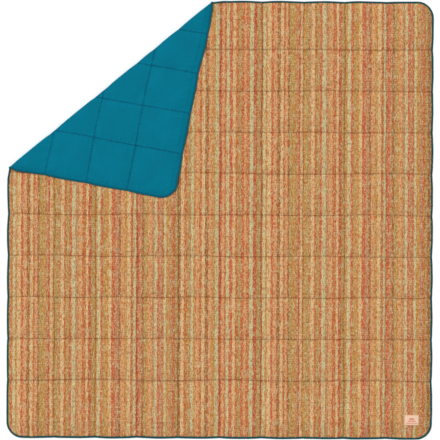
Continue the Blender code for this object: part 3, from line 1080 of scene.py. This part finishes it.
def make_binding():
    runs = binding_runs()
    laid = binding_piece("binding_laid", runs["laid"], False, SURFACES["tape"])
    fasten(laid,
           ["edge_binding_left", "edge_binding_top_centre", "edge_binding_right"], bend="half")
    corner = binding_piece("binding_corner", runs["corner"], True, SURFACES["tape"])
    fasten(corner, ["edge_binding_corner"], body="corner")
    turn = (MIDDLE + TAPE_HALF, 2 * FOLD_HEIGHT - MIDDLE - TAPE_HALF)
    for name, at_start in (("binding_turn_left", True), ("binding_turn_top", False)):
        piece = binding_turn(name, runs["laid"], at_start, SURFACES["tape"])
        fasten(piece, [], bend=turn)
    pitch, length, width = TAPE_STITCH
    for name, folded, nodes in (("laid", False, ["left", "top_centre", "right"]),
                                ("corner", True, ["corner"])):
        path, inward = runs[name]
        line = (path + inward * 0.007)[2:-2]
        high = TAPE_HALF + 0.0002
        piece = stitched_piece(f"binding_stitches_{name}",
                               [(line, high, pitch, length, width, 71),
                                (line, -high, pitch, length, width, 72)],
                               folded, SURFACES["tape_thread"])
        fasten(piece, [f"binding_stitching_{node}" for node in nodes],
               bend=None if folded else "half", body="corner")


def make_quilting():
    under = {False: [], True: []}
    for lengthways, kind in ((True, "length"), (False, "cross")):
        for number in range(ROWS):
            line, beyond = row_line(number, lengthways)
            node_number = number + 1 if lengthways else ROWS - number
            name = f"quilting_{kind}_row_{node_number}"
            seed = 100 + 10 * number + 5 * lengthways
            parts = [(False, line[beyond < -0.002])]
            if (beyond > 0.012).any():
                parts.append((True, line[beyond > 0.002]))
            for corner, own in parts:
                under[corner].append(quilting_run(own, -1, seed + 1))
                ending = "_corner" if corner else ""
                piece = stitched_piece(f"stitches_{kind}_row_{node_number}{ending}",
                                       [quilting_run(own, 1, seed)], corner,
                                       SURFACES["quilt_thread"])
                side = "left_half" if number < ROWS // 2 else "right_half"
                nodes, bend, body = [name], None, "corner" if corner else side
                if corner:
                    nodes = [f"{name}_corner"]
                elif not lengthways:
                    nodes, bend = [f"{name}_left", f"{name}_right"], "half"
                elif number == ROWS // 2:
                    bend = "half"
                fasten(piece, nodes, bend, body)
    for corner, runs in under.items():
        name = "corner" if corner else "laid"
        piece = stitched_piece(f"bobbin_stitches_{name}", runs, corner, SURFACES["bobbin_thread"])
        fasten(piece, [], bend=None if corner else "half", body="corner")


def cloth_height(x, y):
    """Height of the printed face over flat points, read from the cells around them."""
    across = np.interp(x, COLUMN_LINES, np.arange(CELLS + 1))
    up = np.interp(y, ROW_LINES, np.arange(CELLS + 1))
    return SEAM_HALF + FACE_LOFT * fullness(puff(across, up, FACE_SEED)[2])


def make_label():
    """The label, pressed down at its edges, and the thread that sews it on."""
    low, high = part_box("woven_label")
    size = (high[0] - low[0], high[1] - low[1])
    steps = 36
    thick, underside, edge_sinks, edge_width = 0.0011, 0.0001, 0.0004, 0.004
    inset, turn_radius = 0.0024, 0.002     # of the thread around the label
    index = np.linspace(0, 1, steps + 1)
    u, v = (grid.ravel() for grid in np.meshgrid(index, index, indexing="ij"))
    radius = 0.003
    x, y = low[0] + size[0] * u, low[1] + size[1] * v
    centre = ((low[0] + high[0]) / 2, (low[1] + high[1]) / 2)
    out_x = np.abs(x - centre[0]) - (size[0] / 2 - radius)
    out_y = np.abs(y - centre[1]) - (size[1] / 2 - radius)
    both = (out_x > 0) & (out_y > 0)
    far = np.hypot(np.where(both, out_x, 1), np.where(both, out_y, 1))
    shrink = np.where(both & (far > radius), radius / far, 1)
    x = np.where(both, centre[0] + np.sign(x - centre[0]) * (size[0] / 2 - radius + out_x * shrink), x)
    y = np.where(both, centre[1] + np.sign(y - centre[1]) * (size[1] / 2 - radius + out_y * shrink), y)
    base = cloth_height(x, y)
    pressed = np.minimum(np.minimum(u, 1 - u) * size[0], np.minimum(v, 1 - v) * size[1])
    top = base + thick - edge_sinks * (1 - smoothstep(pressed / edge_width))
    points = np.concatenate([place(x, y, top), place(x, y, base + underside)])
    faces = two_sided(grid_quads(steps + 1).tolist(), len(x))
    label = new_piece("label", points, faces, SURFACES["label"])
    store_uv(label, np.tile(u, 2), np.tile(v, 2))
    fasten(label, ["woven_label"], body="right_half")

    reach_x, reach_y = (side / 2 - inset - turn_radius for side in size)
    frame_points = []
    for corner_number, (side_x, side_y) in enumerate(((1, 1), (-1, 1), (-1, -1), (1, -1))):
        for angle in np.linspace(0, math.pi / 2, 5):
            turn = angle + corner_number * math.pi / 2
            frame_points.append((
                centre[0] + side_x * reach_x + turn_radius * math.cos(turn),
                centre[1] + side_y * reach_y + turn_radius * math.sin(turn)))
    frame_points.append(frame_points[0])
    spots, heights, faces = stitches(np.array(frame_points), 0.0, *LABEL_STITCH, 91)
    heights = heights + cloth_height(spots[:, 0], spots[:, 1]) + 0.0010
    sewn = new_piece("label_stitches", place(spots[:, 0], spots[:, 1], heights), faces,
                     SURFACES["label_thread"])
    fasten(sewn, ["label_stitching"], body="right_half")


# ---- studio

def make_floor():
    nodes = Nodes("pale_floor")
    nodes.finish(linear((252, 252, 252)), 0.9)
    reach, drop = 30.0, -0.0005
    corners = np.array([(-reach, -reach, drop), (reach, -reach, drop),
                        (reach, reach, drop), (-reach, reach, drop)])
    floor = new_piece("studio_floor", corners, [(0, 1, 2, 3)], nodes.material, smooth=False)


def make_light():
    world = bpy.data.worlds.new("studio")
    bpy.context.scene.world = world
    world.use_nodes = True
    background = world.node_tree.nodes["Background"]
    background.inputs["Color"].default_value = (1, 1, 1, 1)
    background.inputs["Strength"].default_value = 0.52
    sun = bpy.data.lights.new("key", "SUN")
    sun.energy = 2.35
    sun.angle = math.radians(16)
    key = bpy.data.objects.new("key", sun)
    key.rotation_euler = Vector((-0.55, 0.62, 1.0)).to_track_quat("Z", "Y").to_euler()
    bpy.context.scene.collection.objects.link(key)


def make_camera():
    data = bpy.data.cameras.new("camera")
    data.type = "PERSP"
    distance = 9.0
    seen = 2.128
    data.sensor_width = 36
    data.lens = data.sensor_width * distance / seen
    data.clip_end = 200
    camera = bpy.data.objects.new("camera", data)
    camera.location = (0, -0.0014, distance)
    camera.rotation_euler = (0, 0, math.radians(0.25))
    bpy.context.scene.collection.objects.link(camera)
    bpy.context.scene.camera = camera


def main():
    bpy.context.scene.view_settings.view_transform = "Standard"
    make_camera()
    make_fabrics()
    make_binding()
    make_quilting()
    make_label()
    make_floor()
    make_light()


main()
